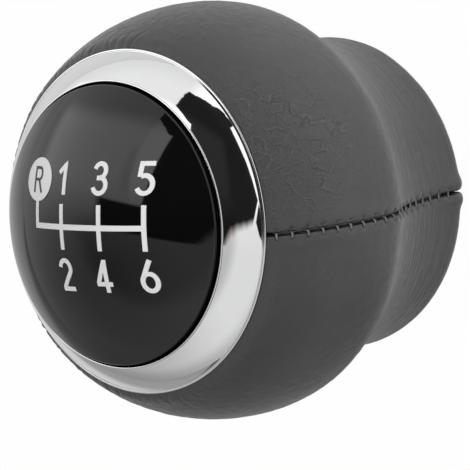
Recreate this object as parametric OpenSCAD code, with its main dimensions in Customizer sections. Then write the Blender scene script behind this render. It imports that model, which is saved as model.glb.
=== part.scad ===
// Gear shift knob: a leather ball on a flared neck, with a chrome ring and a gloss black cap.
// The knob stands on its foot, with the lever's axis along Z and the foot's face at Z = 0.
// X runs along the bar of the shift pattern, from reverse towards fifth and sixth gear.

/* [Grip] */
// Radius of the ball, over the leather
ball_r = 25; // [23:0.5:30]
// Height of the ball's centre above the foot
ball_z = 25; // [24:0.5:32]
// Radius of the neck, over the leather
neck_r = 19.2; // [18.4:0.2:20.6]
// Radius of the convex shoulder under the ball
shoulder_r = 8; // [6:0.5:10]
// Where the shoulder leaves the ball, in degrees under its equator
shoulder_a = 7; // [3:1:12]
// Radius of the hollow sweep that joins the shoulder to the neck
sweep_r = 30; // [24:1:40]

/* [Leather] */
// Thickness of the leather
leather_t = 1.2; // [0.8:0.1:1.6]
// Radius of the two moulded lips that the leather rolls over
lip_r = 1.2; // [0.8:0.1:1.6]
// Distance from the ball's widest circle in to the upper lip's centre
tuck_in = 5.5; // [5:0.1:6.2]
// Length of the hem inside the upper pocket
upper_hem = 3; // [2:0.5:4]
// Length of the hem inside the foot
lower_hem = 4; // [3:0.5:6]

/* [Seams] */
// Tilt of the seams' plane, in degrees
seam_tilt = 2.3; // [0:0.1:4]
// Height at which the seams cross the middle plane
seam_z = 14.4; // [8:0.2:20]
// Gap between the two panels' edges
seam_gap = 0.3; // [0.2:0.05:0.4]
// Width of the groove where both edges turn in
groove_w = 0.7; // [0.6:0.05:1]
// Depth of that groove
groove_d = 0.4; // [0.3:0.05:0.6]
// How far up on the upper roll the first stitch lies
stitch_lead = 0.6; // [0:0.1:1]
// Distance from one stitch to the next
stitch_pitch = 1.99; // [1.6:0.01:2.6]
// Length of a stitch across the seam
stitch_l = 1.3; // [1.1:0.1:2]
// Diameter of the sewing thread
thread_d = 0.4; // [0.3:0.05:0.5]

/* [Chrome ring] */
// How far the ring's outer edge lies outside the upper lip's centre
ring_over = 0.8; // [0.6:0.1:1.2]
// Width of the ring, seen from above
ring_w = 3.6; // [3:0.1:4]
// Height of the inner edge above the outer one
ring_rise = 3.85; // [3.2:0.05:4.4]
// Radius of the ring's crowned face, in section
ring_crown_r = 11; // [8:0.5:16]
// Wall of the ring
ring_t = 1.3; // [1:0.1:1.6]
// Radius of the fine beads along both edges
bead_r = 0.15; // [0.1:0.05:0.25]
// Wall of the ring beside the cap
ring_wall = 1; // [0.8:0.1:1.2]
// Thickness of the flange under the cap's rim
flange_t = 0.8; // [0.6:0.1:1]
// Depth of the flange's face under the ring's inner edge
flange_drop = 1.35; // [1.2:0.05:1.6]

/* [Cap] */
// Radius of the cap's domed face
dome_r = 25.8; // [24:0.2:32]
// Dark gap between the cap and the ring
cap_gap = 0.35; // [0.2:0.05:0.5]
// How far the cap's rim stands above the ring's inner edge
cap_proud = 0.65; // [0.4:0.05:1]
// Radius of the cap's edge
cap_edge_r = 0.4; // [0.2:0.05:0.6]
// Wall of the cap
cap_t = 2; // [1.4:0.1:2.4]
// Height of the boss ring under the cap, at its outer edge
cap_boss = 0.6; // [0.4:0.1:1]
// Thickness of the adhesive pad under the cap
pad_t = 1; // [0.5:0.1:1.5]

/* [Shift pattern] */
// Width of the printed cross line
bar_w = 0.65; // [0.5:0.05:0.9]
// Width of the printed lines of the gears
line_w = 0.55; // [0.4:0.05:0.9]
// Thickness of the print
print_t = 0.08; // [0.05:0.01:0.15]
// Distance from the reverse line to the first gear's line
reverse_step = 4.6; // [4.2:0.1:5.4]
// Distance between the lines of the forward gears
gear_step = 5.75; // [5:0.05:6]
// Length of each gear's line
gear_line = 5.3; // [4.5:0.1:6]
// Radius of the reverse disc
disc_r = 2.5; // [2:0.1:2.8]
// Height of the reverse disc's centre above the cross line
disc_y = 5.3; // [4.8:0.1:5.8]
// Place of the pattern's middle along X
pattern_x = 1.2; // [0:0.1:1.4]
// Place of the cross line along Y
pattern_y = 0.35; // [-0.5:0.05:0.6]

/* [Core and insert] */
// Wall of the boss round the threaded insert
boss_t = 3; // [2.5:0.25:3.5]
// Wall between the cored-out space and the hem in the foot
mouth_wall = 1.4; // [1:0.1:2]
// Thickness of the deck under the upper pocket
deck_t = 3; // [2.4:0.2:4]
// Depth of the spaces cored out from above, under the deck
pocket_l = 19.2; // [12:0.2:21]
// Number of ribs round the boss
rib_n = 6; // [4:1:8]
// Thickness of the ribs
rib_t = 2; // [1.4:0.2:3]
// Gap between the cap's hooks and the turret that holds the cap up
turret_gap = 3.4; // [2.6:0.2:4]
// Wall of the turret
turret_t = 3; // [2:0.5:4]
// Width and height of the gussets at the turret's foot
gusset = 4; // [3:0.5:5]
// Outer radius of the threaded insert
insert_r = 8; // [7.5:0.25:8.5]
// Height of the insert's mouth above the foot
insert_z = 4; // [3:0.5:6]
// Length of the insert
insert_l = 23; // [20:0.5:24]
// Radius of the hole in the insert, at the crests of an M12 x 1.25 thread
thread_r = 5.35; // [4.2:0.05:5.6]
// Depth of the threaded wall
thread_l = 18.5; // [14:0.5:20]
// Radius of the lever's way in through the foot
way_in_r = 7; // [6.2:0.1:7.5]

/* [Carrier and collar] */
// Wall of the carrier
carrier_t = 1.5; // [1.2:0.1:1.8]
// Number of the carrier's hooks
hook_n = 6; // [4:1:8]
// Width of a hook
hook_w = 3.6; // [3:0.2:4.4]
// Thickness of a hook's leg
leg_t = 1.2; // [1:0.1:1.3]
// How far a hook's nose reaches under its edge
hook_nose = 0.8; // [0.5:0.1:1]
// Depth of the room for a hook under the deck
hook_room = 4; // [3:0.5:6]
// Number of hooks that hold the cap
cap_hook_n = 4; // [3:1:6]
// Distance from the carrier's skirt in to the cap's hooks
cap_hook_in = 3.15; // [2.8:0.05:3.6]
// Wall of the collar in the foot
collar_t = 1.6; // [1.2:0.1:2]
// How far the collar stands below the leather
collar_proud = 0.3; // [0.1:0.1:0.6]
// Thickness of the collar's plate
plate_t = 1.8; // [1.4:0.1:2.2]
// How far under the hem's edge the collar ends
collar_short = 1.2; // [0.8:0.1:1.6]
// Height of the collar's ribs
collar_rib_h = 2.6; // [1.5:0.1:3]

/* [Fits] */
// Clearance between pieces that are pushed together
fit = 0.05; // [0.03:0.01:0.1]
// Clearance round hooks in their windows
slack = 0.3; // [0.2:0.05:0.4]
// Room between the upper hem's edge and the deck
hem_room = 0.4; // [0.3:0.1:0.6]

/* [Hidden] */
$fn = 96;
// Reach of cuts that run right through, and of those that run past one face
far = 4 * ball_r;
over = 1;
// Overlap of shapes that are joined into one piece
lap = 0.5;
// Step at the edges of the spaces cored out of the grip
core_step = 0.3;
// Flat of a hook's nose, the length of its slanted tip, and how far in the tip ends
nose_t = 0.5;
tip_l = 1.6;
tip_in = 0.2;
// Sides of the sewing thread
thread_sides = 8;

// Grip outline: the shoulder circle touches the ball inside, the sweep circle touches it outside
shoulder_c = [(ball_r - shoulder_r) * cos(shoulder_a), ball_z - (ball_r - shoulder_r) * sin(shoulder_a)];
sweep_x = neck_r + sweep_r;
sweep_z = shoulder_c[1] - sqrt(pow(shoulder_r + sweep_r, 2) - pow(sweep_x - shoulder_c[0], 2));
sweep_a = atan2(shoulder_c[1] - sweep_z, sweep_x - shoulder_c[0]);

// Centres of the two lips, and the leather's roll round them
roll_r = lip_r + leather_t;
tuck_r = ball_r - tuck_in;
upper_lip = [tuck_r, ball_z + sqrt(pow(ball_r - roll_r, 2) - pow(tuck_r, 2))];
upper_lip_a = atan2(upper_lip[1] - ball_z, tuck_r);
lower_lip_z = collar_proud + roll_r;
neck_end_r = sweep_z > lower_lip_z ? neck_r :
    sweep_x - sqrt(pow(sweep_r, 2) - pow(lower_lip_z - sweep_z, 2));
lower_lip = [neck_end_r - roll_r, lower_lip_z];
sweep_end_a = sweep_z > lower_lip_z ? 0 : asin((lower_lip_z - sweep_z) / sweep_r);

// Radii of the ring and heights from there up to the cap
ring_out_r = tuck_r + ring_over;
ring_in_r = ring_out_r - ring_w;
ring_out_z = upper_lip[1] + sqrt(pow(roll_r, 2) - pow(ring_out_r - tuck_r, 2));
ring_in_z = ring_out_z + ring_rise;
flange_z = ring_in_z - flange_drop;
shelf_z = flange_z - flange_t;
cap_r = ring_in_r - cap_gap;
cap_edge_z = ring_in_z + cap_proud;
dome_z = cap_edge_z - sqrt(pow(dome_r, 2) - pow(cap_r, 2));

// Radii and heights inside the core
pocket_r = upper_lip[0] - lip_r;
hem_end_z = upper_lip[1] - upper_hem;
deck_z = hem_end_z - hem_room;
under_deck_z = deck_z - deck_t;
skirt_r = upper_lip[0] - roll_r - fit;
skirt_in_r = skirt_r - carrier_t;
skirt_z = hem_end_z + hem_room;
mouth_r = lower_lip[0] - lip_r;
hem_r = lower_lip[0] - roll_r;
lower_hem_z = lower_lip[1] + lower_hem;
cavity_r = hem_r - core_step;
pocket_wall_r = cavity_r + mouth_wall;
collar_r = hem_r - fit;
boss_r = min(insert_r + boss_t, collar_r - collar_t - slack);
cap_hook_r = skirt_in_r - cap_hook_in;
turret_r = cap_hook_r - turret_gap;
cap_under_z = dome_z + sqrt(pow(dome_r - cap_t, 2) - pow(turret_r, 2)) - cap_boss;
turret_z = cap_under_z - pad_t;
rib_a = 360 / rib_n;
hook_a = 360 / hook_n;

// Length along an arc
function arc_len(r, a) = PI * r * a / 180;
function arc_deg(r, s) = 180 * s / (PI * r);

// Point of the grip's outline at the distance s from the ring, as [radius, height, slope of its normal]
ball_len = arc_len(ball_r, upper_lip_a + shoulder_a);
shoulder_len = arc_len(shoulder_r, sweep_a - shoulder_a);
sweep_len = arc_len(sweep_r, sweep_a - sweep_end_a);
neck_len = max(0, sweep_z - lower_lip_z);
seam_len = ball_len + shoulder_len + sweep_len + neck_len;
function on_ball(a) = [ball_r * cos(a), ball_z + ball_r * sin(a), a];
function on_shoulder(a) = [shoulder_c[0] + shoulder_r * cos(a), shoulder_c[1] + shoulder_r * sin(a), a];
function on_sweep(a) = [sweep_x - sweep_r * cos(a), sweep_z - sweep_r * sin(a), a];
function on_roll(a) = [upper_lip[0] + roll_r * cos(a), upper_lip[1] + roll_r * sin(a), a];
function on_grip(s) =
    s < 0 ? on_roll(upper_lip_a - arc_deg(roll_r, s)) :
    s < ball_len ? on_ball(upper_lip_a - arc_deg(ball_r, s)) :
    s < ball_len + shoulder_len ? on_shoulder(-shoulder_a - arc_deg(shoulder_r, s - ball_len)) :
    s < seam_len - neck_len ? on_sweep(-sweep_a + arc_deg(sweep_r, s - ball_len - shoulder_len)) :
    [neck_r, lower_lip_z + seam_len - s, 0];
stitch_n = floor((seam_len + stitch_lead) / stitch_pitch);

// Filled half section of the grip, drawn inwards by inset from the leather's face
module grip_section(inset) {
    shoulder_top = ball_z - (ball_r - inset) * sin(shoulder_a);
    join = shoulder_c + (shoulder_r - inset) * [cos(sweep_a), -sin(sweep_a)];
    intersection() {
        translate([0, ball_z]) circle(r = ball_r - inset);
        translate([0, shoulder_top]) square([ball_r, far]);
    }
    translate(shoulder_c) circle(r = shoulder_r - inset);
    translate([0, join[1] - lap]) square([shoulder_c[0], shoulder_top - join[1] + 2 * lap]);
    difference() {
        translate([0, lower_lip[1] - lap]) square([join[0], join[1] - lower_lip[1] + 2 * lap]);
        translate([sweep_x, sweep_z]) circle(r = sweep_r + inset);
        if (sweep_z > lower_lip[1])
            translate([neck_r - inset, 0]) square([far, sweep_z]);
    }
}

// Half section of the wall that the leather wraps: inset 0 is its outside, inset leather_t the core's
module wall_section(inset) {
    r = roll_r - inset;
    ray = [cos(upper_lip_a), sin(upper_lip_a)];
    difference() {
        grip_section(inset);
        polygon([upper_lip, upper_lip + 2 * roll_r * ray, [tuck_r, far], [0, far], [0, upper_lip[1]]]);
        translate([0, hem_end_z]) square([tuck_r - r, far]);
        square([lower_lip[0] - r, lower_hem_z]);
    }
    translate(upper_lip) circle(r = r);
    translate(lower_lip) circle(r = r);
}

// Places things in the tilted plane of the seams
module in_seam_plane() {
    translate([0, 0, seam_z]) rotate([seam_tilt, 0, 0]) translate([0, 0, -seam_z]) children();
}

// Slab of the width w that follows the seam on one side
module seam_slab(w, side) {
    in_seam_plane() translate([side > 0 ? 0 : -far, -w / 2, -far]) cube([far, w, 2 * far]);
}

// Solid of the grip, drawn inwards by inset, from which shells are cut
module grip_solid(inset) {
    rotate_extrude() wall_section(inset);
}

// Puts one copy of its child at every stitch, with X out of the leather and Z along the seam
module at_stitches(side) {
    for (i = [0 : stitch_n]) {
        p = on_grip(i * stitch_pitch - stitch_lead);
        in_seam_plane() mirror([side > 0 ? 0 : 1, 0, 0])
            translate([p[0], 0, p[1]]) rotate([0, -p[2], 0]) children();
    }
}

// Bed that one stitch presses into the leather
module stitch_bed() {
    translate([-thread_d - fit, -stitch_l / 2 - fit, -thread_d / 2 - fit])
        cube([2 * thread_d, stitch_l + 2 * fit, thread_d + 2 * fit]);
}

// One panel of the cover: half of the wrapped skin, with both edges turned in at the seams
module panel(front) {
    difference() {
        rotate_extrude() difference() {
            wall_section(0);
            wall_section(leather_t);
        }
        in_seam_plane() translate([-far, front ? -2 * far : 0, -far]) cube([2 * far, 2 * far, 3 * far]);
        for (side = [-1, 1]) {
            seam_slab(seam_gap, side);
            difference() {
                seam_slab(groove_w, side);
                grip_solid(groove_d);
            }
            at_stitches(side) stitch_bed();
        }
    }
}

module leather_front() {
    color([0.2, 0.2, 0.2]) panel(true);
}

module leather_rear() {
    color([0.2, 0.2, 0.2]) panel(false);
}

// Sewing thread of one seam: a run between the panels' edges, and a stitch across it at every pitch
module seam_thread(side) {
    run_w = seam_gap - 2 * fit;
    post_l = 0.8 * leather_t;
    intersection() {
        seam_slab(run_w, side);
        rotate_extrude() intersection() {
            difference() {
                wall_section(groove_d);
                wall_section(leather_t - fit);
            }
            union() {
                translate(lower_lip) square([far, hem_end_z - lower_lip[1]]);
                translate([tuck_r, hem_end_z - lap]) square([far, far]);
            }
        }
    }
    at_stitches(side) translate([-thread_d / 2, 0, 0]) rotate([90, 180 / thread_sides, 0])
        cylinder(d = thread_d, h = stitch_l, center = true, $fn = thread_sides);
    at_stitches(side) translate([-post_l, -run_w / 2, -thread_d / 4])
        cube([post_l, run_w, thread_d / 2]);
}

module seam_thread_right() {
    color([0.5, 0.5, 0.5]) seam_thread(1);
}

module seam_thread_left() {
    color([0.5, 0.5, 0.5]) seam_thread(-1);
}

// Repeats its child n times round the axis
module round_axis(n, first = 0) {
    for (i = [0 : n - 1]) rotate([0, 0, first + i * 360 / n]) children();
}

// Spaces cored out of the grip from below, between the boss and the outer wall
module foot_cavity() {
    low_z = lower_hem_z - over;
    difference() {
        rotate_extrude() translate([boss_r, low_z]) square([cavity_r - boss_r, under_deck_z - low_z]);
        round_axis(rib_n) translate([0, -rib_t / 2, 0]) cube([ball_r, rib_t, ball_z * 2]);
    }
}

// Spaces cored out from above, between the hooks' windows
module deck_pockets() {
    half = hook_a / 2 - arc_deg(pocket_wall_r, hook_w / 2 + slack + rib_t);
    round_axis(hook_n, hook_a / 2 - half) rotate_extrude(angle = 2 * half)
        translate([pocket_wall_r, deck_z - pocket_l])
            square([pocket_r - core_step - pocket_wall_r, far]);
}

// Windows in the deck, with room under it for the carrier's hooks
module hook_windows() {
    w = hook_w + 2 * slack;
    edge_r = skirt_in_r - slack;
    low_z = under_deck_z - hook_room;
    round_axis(hook_n) {
        translate([edge_r, -w / 2, low_z]) cube([skirt_r + slack - edge_r, w, deck_z - low_z + over]);
        translate([edge_r - hook_nose - slack, -w / 2, low_z])
            cube([skirt_r - edge_r, w, under_deck_z - low_z]);
    }
}

// Moulded core of the grip, open at the top for the carrier and at the foot for the collar
module core() {
    color([0.13, 0.13, 0.14]) difference() {
        union() {
            rotate_extrude() difference() {
                wall_section(leather_t);
                translate([0, deck_z]) square([pocket_r, far]);
                square([mouth_r, lower_hem_z]);
            }
            translate([0, 0, plate_t]) cylinder(r = boss_r, h = deck_z - plate_t);
            translate([0, 0, deck_z - lap]) cylinder(r = turret_r, h = turret_z - deck_z + lap);
            round_axis(rib_n, rib_a / 2) rotate([90, 0, 0]) translate([0, 0, -rib_t / 2])
                linear_extrude(rib_t) polygon([
                    [turret_r - lap, deck_z - lap], [turret_r + gusset, deck_z - lap],
                    [turret_r + gusset, deck_z], [turret_r, deck_z + gusset],
                    [turret_r - lap, deck_z + gusset]]);
        }
        translate([0, 0, deck_z]) cylinder(r = turret_r - turret_t, h = far);
        translate([0, 0, insert_z]) insert_body();
        cylinder(r = way_in_r, h = insert_z + lap);
        foot_cavity();
        deck_pockets();
        hook_windows();
        for (side = [-1, 1]) difference() {
            seam_slab(3 * seam_gap, side);
            grip_solid(leather_t + groove_d);
            translate([0, 0, upper_lip[1]]) cylinder(r = far, h = far);
            cylinder(r = far, h = lower_lip[1]);
            cylinder(r = mouth_r + lap, h = far);
        }
    }
}

// Outside of the insert: two knurled bands with a groove between them that locks it in the core
module insert_body() {
    groove = 1;
    band = (insert_l - 3 * groove) / 2;
    rotate_extrude() polygon([
        [0, 0], [insert_r - groove, 0], [insert_r, groove], [insert_r, band],
        [insert_r - groove, band + groove], [insert_r - groove, band + 2 * groove],
        [insert_r, band + 3 * groove], [insert_r, insert_l - groove],
        [insert_r - groove, insert_l], [0, insert_l]]);
}

// Brass insert with the blind hole for the lever's thread
module threaded_insert() {
    lead = 0.8;
    drill_half_a = 70;
    color([0.78, 0.6, 0.3]) translate([0, 0, insert_z]) difference() {
        insert_body();
        rotate_extrude() polygon([
            [0, -over], [thread_r + lead + over, -over], [thread_r + lead, 0], [thread_r, lead],
            [thread_r, lead + thread_l], [0, lead + thread_l + thread_r / tan(drill_half_a)]]);
    }
}

// Collar pressed into the foot, which holds the lower hem and covers the cored-out spaces
module bottom_collar() {
    top_z = lower_hem_z - collar_short;
    lead = 0.5;
    groove = [0.6, 0.4];
    color([0.1, 0.1, 0.1]) difference() {
        union() {
            rotate_extrude() polygon([
                [way_in_r + lead, 0], [collar_r - lead, 0], [collar_r, lead],
                [collar_r, top_z - lead], [collar_r - lead, top_z], [collar_r - collar_t, top_z],
                [collar_r - collar_t, plate_t], [way_in_r, plate_t], [way_in_r, lead]]);
            round_axis(rib_n, rib_a / 2) translate([boss_r + fit, -rib_t / 2, plate_t - fit])
                cube([collar_r - boss_r - collar_t / 2, rib_t, collar_rib_h + fit]);
        }
        rotate_extrude() translate([boss_r - groove[0], -over]) square([groove[0], groove[1] + over]);
    }
}

// Hook drawn in its radial plane: a leg from the height top down past catch, where its nose holds
module hook(r, top, catch) {
    rotate([90, 0, 0]) translate([0, 0, -hook_w / 2]) linear_extrude(hook_w) polygon([
        [r, top], [r, catch], [r - hook_nose, catch], [r - hook_nose, catch - nose_t],
        [r + tip_in, catch - tip_l], [r + leg_t, catch - tip_l], [r + leg_t, top]]);
}

// Carrier: skirt that presses the upper hem outwards, plate for the cap's hooks, hooks into the core
module cap_carrier() {
    plate_z = shelf_z - carrier_t;
    window_w = hook_w + 2 * slack;
    color([0.1, 0.1, 0.1]) {
        difference() {
            rotate_extrude() {
                translate([skirt_in_r, skirt_z]) square([carrier_t, shelf_z - skirt_z]);
                translate([turret_r + 2 * slack, plate_z])
                    square([skirt_r - turret_r - 2 * slack, carrier_t]);
            }
            round_axis(cap_hook_n, 180 / cap_hook_n)
                translate([cap_hook_r - slack, -window_w / 2, plate_z - over])
                    cube([leg_t + 2 * slack, window_w, carrier_t + 2 * over]);
        }
        round_axis(hook_n) hook(skirt_in_r, skirt_z + lap, under_deck_z - fit);
    }
}

// Half section of the chrome ring: a crowned band, a fine bead along each edge, and a hidden flange
module ring_section() {
    outer = [ring_out_r, ring_out_z];
    inner = [ring_in_r, ring_in_z];
    chord = norm(outer - inner);
    middle = (outer + inner) / 2;
    up = [ring_in_z - ring_out_z, ring_out_r - ring_in_r] / chord;
    centre = middle - up * sqrt(pow(ring_crown_r, 2) - pow(chord / 2, 2));
    bead_lift = 0.2;
    difference() {
        union() {
            intersection() {
                difference() {
                    translate(centre) circle(r = ring_crown_r);
                    translate(centre) circle(r = ring_crown_r - ring_t);
                }
                polygon([centre, centre + 3 * (outer - centre), centre + 4 * ring_crown_r * up,
                         centre + 3 * (inner - centre)]);
            }
            intersection() {
                translate(centre) circle(r = ring_crown_r);
                translate([ring_in_r, shelf_z]) square([ring_wall, far]);
            }
            translate([ring_in_r + bead_r, ring_in_z - bead_r / 2]) circle(r = bead_r, $fn = 32);
            translate([ring_out_r - bead_r, ring_out_z + bead_lift]) circle(r = bead_r, $fn = 32);
        }
        translate(upper_lip) circle(r = roll_r + fit);
        square([ring_in_r, far]);
    }
    translate([skirt_in_r, shelf_z]) square([ring_in_r + ring_wall - skirt_in_r, flange_t]);
}

module bezel_ring() {
    color([0.85, 0.85, 0.87]) rotate_extrude() ring_section();
}

// Gloss cap: a domed shell with a rounded rim, a ring for the pad, and hooks through the carrier
module cap() {
    edge = [cap_r - cap_edge_r, dome_z + sqrt(pow(dome_r - cap_edge_r, 2) - pow(cap_r - cap_edge_r, 2))];
    out = (edge - [0, dome_z]) / norm(edge - [0, dome_z]);
    plate_z = shelf_z - carrier_t;
    color([0.03, 0.03, 0.03]) {
        rotate_extrude() {
            difference() {
                intersection() {
                    translate([0, dome_z]) circle(r = dome_r, $fn = 192);
                    translate([0, flange_z]) square([cap_r, far]);
                }
                polygon([edge, edge + far * out, [far, edge[1]]]);
                intersection() {
                    translate([0, dome_z]) circle(r = dome_r - cap_t, $fn = 192);
                    translate([-over, 0]) square([cap_r - cap_t + over, far]);
                }
            }
            translate(edge) circle(r = cap_edge_r, $fn = 32);
            translate([turret_r - turret_t, cap_under_z]) square([turret_t, cap_t]);
        }
        round_axis(cap_hook_n, 180 / cap_hook_n)
            hook(cap_hook_r, dome_z + sqrt(pow(dome_r - cap_t / 2, 2) - pow(cap_hook_r + leg_t, 2)),
                 plate_z - fit);
    }
}

// Adhesive pad between the turret and the cap
module cap_pad() {
    color([0.25, 0.25, 0.25]) difference() {
        translate([0, 0, turret_z]) cylinder(r = turret_r, h = pad_t);
        translate([0, 0, turret_z - over]) cylinder(r = turret_r - turret_t, h = pad_t + 2 * over);
    }
}

// Shift pattern seen from above: the cross line, a line for each pair of gears, and the reverse disc
module gate_lines() {
    span = reverse_step + 2 * gear_step;
    left = pattern_x - span / 2;
    translate([left - line_w / 2, -bar_w / 2]) square([span + line_w, bar_w]);
    for (i = [0 : 2])
        translate([left + reverse_step + i * gear_step - line_w / 2, -gear_line / 2])
            square([line_w, gear_line]);
    translate([left - line_w / 2, 0]) square([line_w, disc_y]);
    translate([left, disc_y]) circle(r = disc_r);
}

// Printed shift pattern, a thin layer on the dome
module gate_pattern() {
    color([0.8, 0.8, 0.8]) intersection() {
        translate([0, pattern_y, dome_z]) linear_extrude(2 * dome_r) gate_lines();
        difference() {
            translate([0, 0, dome_z]) sphere(r = dome_r + print_t);
            translate([0, 0, dome_z]) sphere(r = dome_r);
        }
    }
}

core();
threaded_insert();
bottom_collar();
leather_front();
leather_rear();
seam_thread_right();
seam_thread_left();
cap_carrier();
bezel_ring();
cap();
cap_pad();
gate_pattern();
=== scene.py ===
"""Looks of a gear shift knob: grained leather with sewn seams, a chrome ring and a gloss black cap.

Lengths in this script are millimetres in the object's own frame, with Z up the lever's axis and
the foot's face at Z = 0. They become metres only where a mesh, a lamp or the camera is made.
"""
import math
import bpy
import numpy as np
from mathutils import Matrix, Vector, noise


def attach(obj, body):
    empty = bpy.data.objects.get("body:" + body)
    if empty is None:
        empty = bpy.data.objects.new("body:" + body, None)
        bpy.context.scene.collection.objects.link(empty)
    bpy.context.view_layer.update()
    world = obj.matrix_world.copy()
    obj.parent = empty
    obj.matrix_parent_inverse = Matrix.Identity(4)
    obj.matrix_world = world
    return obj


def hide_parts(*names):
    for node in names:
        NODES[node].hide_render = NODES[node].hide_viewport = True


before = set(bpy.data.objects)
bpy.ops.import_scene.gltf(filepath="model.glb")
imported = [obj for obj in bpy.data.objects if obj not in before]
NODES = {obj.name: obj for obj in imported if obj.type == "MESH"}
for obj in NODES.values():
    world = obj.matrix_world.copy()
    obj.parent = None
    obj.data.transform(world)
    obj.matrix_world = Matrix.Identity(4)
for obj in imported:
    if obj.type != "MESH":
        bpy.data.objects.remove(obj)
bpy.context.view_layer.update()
MM = 0.001

# Outline of the grip
BALL_R, BALL_Z = 25.0, 25.0
NECK_R = 19.2
SHOULDER_R, SHOULDER_A = 8.0, 7.0
SWEEP_R = 30.0
LEATHER_T = 1.2
ROLL_R = 2.4
UPPER_LIP_R = 19.5
LOWER_LIP_Z = 2.7
UPPER_HEM, LOWER_HEM = 3.0, 4.0

# Seams
SEAM_TILT, SEAM_Z = 2.3, 14.4
SEAM_GAP = 0.3
STITCH_LEAD, STITCH_PITCH = 0.6, 1.99
THREAD_R = 0.14

# Chrome ring. TRIM_TURN is how far round the crown the trim groove lies from the outer edge, in degrees
RING_OUT, RING_IN = (20.3, 38.69), (16.7, 42.537)
CROWN_R, RING_T = 11.0, 1.3
BEAD_R, BEAD_LIFT = 0.15, 0.2
LIP_R, LIP_RUN, LIP_DROP = 0.11, 0.24, 0.12
FLANGE_IN, FLANGE_LOW, FLANGE_HIGH = 15.55, 40.387, 41.187
UNDER_LOW = 38.751
RING_CLEAR = 0.05
TRIM_R, TRIM_TURN = 0.08, 2.48
RING_COLUMNS, CAP_COLUMNS = 300, 240
SHARP_TURN = 40

# Cap and shift pattern. The dome's rows end beside the axis, at POLE_A
DOME_R, DOME_TOP = 25.8, 49.029
DOME_Z = DOME_TOP - DOME_R
POLE_A = 89.9
CAP_R, CAP_EDGE_R, CAP_T = 16.42, 0.4, 2.0
PAD_SEAT = ((9.0, 44.66), (6.0, 44.66))
CLIP = (
    (12.4, 43.35), (12.4, 38.84), (11.6, 38.84), (11.6, 38.34),
    (12.6, 37.24), (13.6, 37.24), (13.6, 43.0),
)
CLIP_W, CLIP_TURNS = 3.6, (45, 135, 225, 315)
PRINT_T, PRINT_SUNK = 0.08, 0.02
GEAR_X = (-2.25, 3.5, 9.25)
DISC_XY = (-6.85, 5.65)
DIGIT_SIZE, DIGIT_STROKE = (2.3, 3.9), 0.53
ODD_Y, EVEN_Y = 6.02, -5.25
LETTER_SIZE, LETTER_STROKE = (1.75, 3.0), 0.33
INK_STEP, MITRE_LIMIT = 0.22, 0.55

# Camera, from the photograph's perspective
CAMERA_AT = (327.3, 45.3, 388.5)
CAMERA_LOOK = (3.2, -2.9, 25.0)
CAMERA_UP = (-0.031, 0.994, -0.102)
CAMERA_LENS, CAMERA_SENSOR = 314.7, 36.0
CAMERA_CLIP = (0.01, 20.0)

# Derived places: the grip's outline, and lengths along it
shoulder_c = (
    (BALL_R - SHOULDER_R) * math.cos(math.radians(SHOULDER_A)),
    BALL_Z - (BALL_R - SHOULDER_R) * math.sin(math.radians(SHOULDER_A)),
)
sweep_x = NECK_R + SWEEP_R
sweep_z = shoulder_c[1] - math.sqrt((SHOULDER_R + SWEEP_R) ** 2 - (sweep_x - shoulder_c[0]) ** 2)
sweep_a = math.degrees(math.atan2(shoulder_c[1] - sweep_z, sweep_x - shoulder_c[0]))
upper_lip_z = BALL_Z + math.sqrt((BALL_R - ROLL_R) ** 2 - UPPER_LIP_R**2)
upper_lip_a = math.degrees(math.atan2(upper_lip_z - BALL_Z, UPPER_LIP_R))
lower_lip_r = NECK_R - ROLL_R
ball_len = math.radians(upper_lip_a + SHOULDER_A) * BALL_R
shoulder_len = math.radians(sweep_a - SHOULDER_A) * SHOULDER_R
seam_len = ball_len + shoulder_len + math.radians(sweep_a) * SWEEP_R
stitch_s = np.arange(0, 19) * STITCH_PITCH - STITCH_LEAD

# Centre of the ring's crown, and where the trim groove lies on it
ring_chord = math.dist(RING_OUT, RING_IN)
ring_up = ((RING_IN[1] - RING_OUT[1]) / ring_chord, (RING_OUT[0] - RING_IN[0]) / ring_chord)
crown_depth = math.sqrt(CROWN_R**2 - (ring_chord / 2) ** 2)
crown_c = (
    (RING_OUT[0] + RING_IN[0]) / 2 - ring_up[0] * crown_depth,
    (RING_OUT[1] + RING_IN[1]) / 2 - ring_up[1] * crown_depth,
)
trim_a = math.degrees(math.atan2(RING_OUT[1] - crown_c[1], RING_OUT[0] - crown_c[0])) + TRIM_TURN
trim_at = crown_c[0] + CROWN_R * math.cos(math.radians(trim_a))


# Small helpers for meshes

def link(obj):
    bpy.context.scene.collection.objects.link(obj)
    return obj


def make_mesh(name, points, faces, material, smooth=True, crease=None):
    """Object from points in millimetres. Edges that turn more than crease degrees stay sharp."""
    mesh = bpy.data.meshes.new(name)
    mesh.from_pydata([tuple(p) for p in np.asarray(points, float) * MM], [], faces)
    mesh.validate()
    if smooth:
        mesh.shade_smooth()
    if crease:
        mesh.set_sharp_from_angle(angle=math.radians(crease))
    mesh.materials.append(material)
    return link(bpy.data.objects.new(name, mesh))


def sew_on(obj, slot, *nodes):
    """Fixes a piece to the knob and hides the nodes that it stands for. The slot argument is not used."""
    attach(obj, "root")
    if nodes:
        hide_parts(*nodes)


def join_meshes(parts):
    """One list of points and one of faces from several."""
    points, faces, offset = [], [], 0
    for part_points, part_faces in parts:
        points.extend(part_points)
        faces.extend([tuple(i + offset for i in face) for face in part_faces])
        offset += len(part_points)
    return points, faces


# Materials

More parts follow.
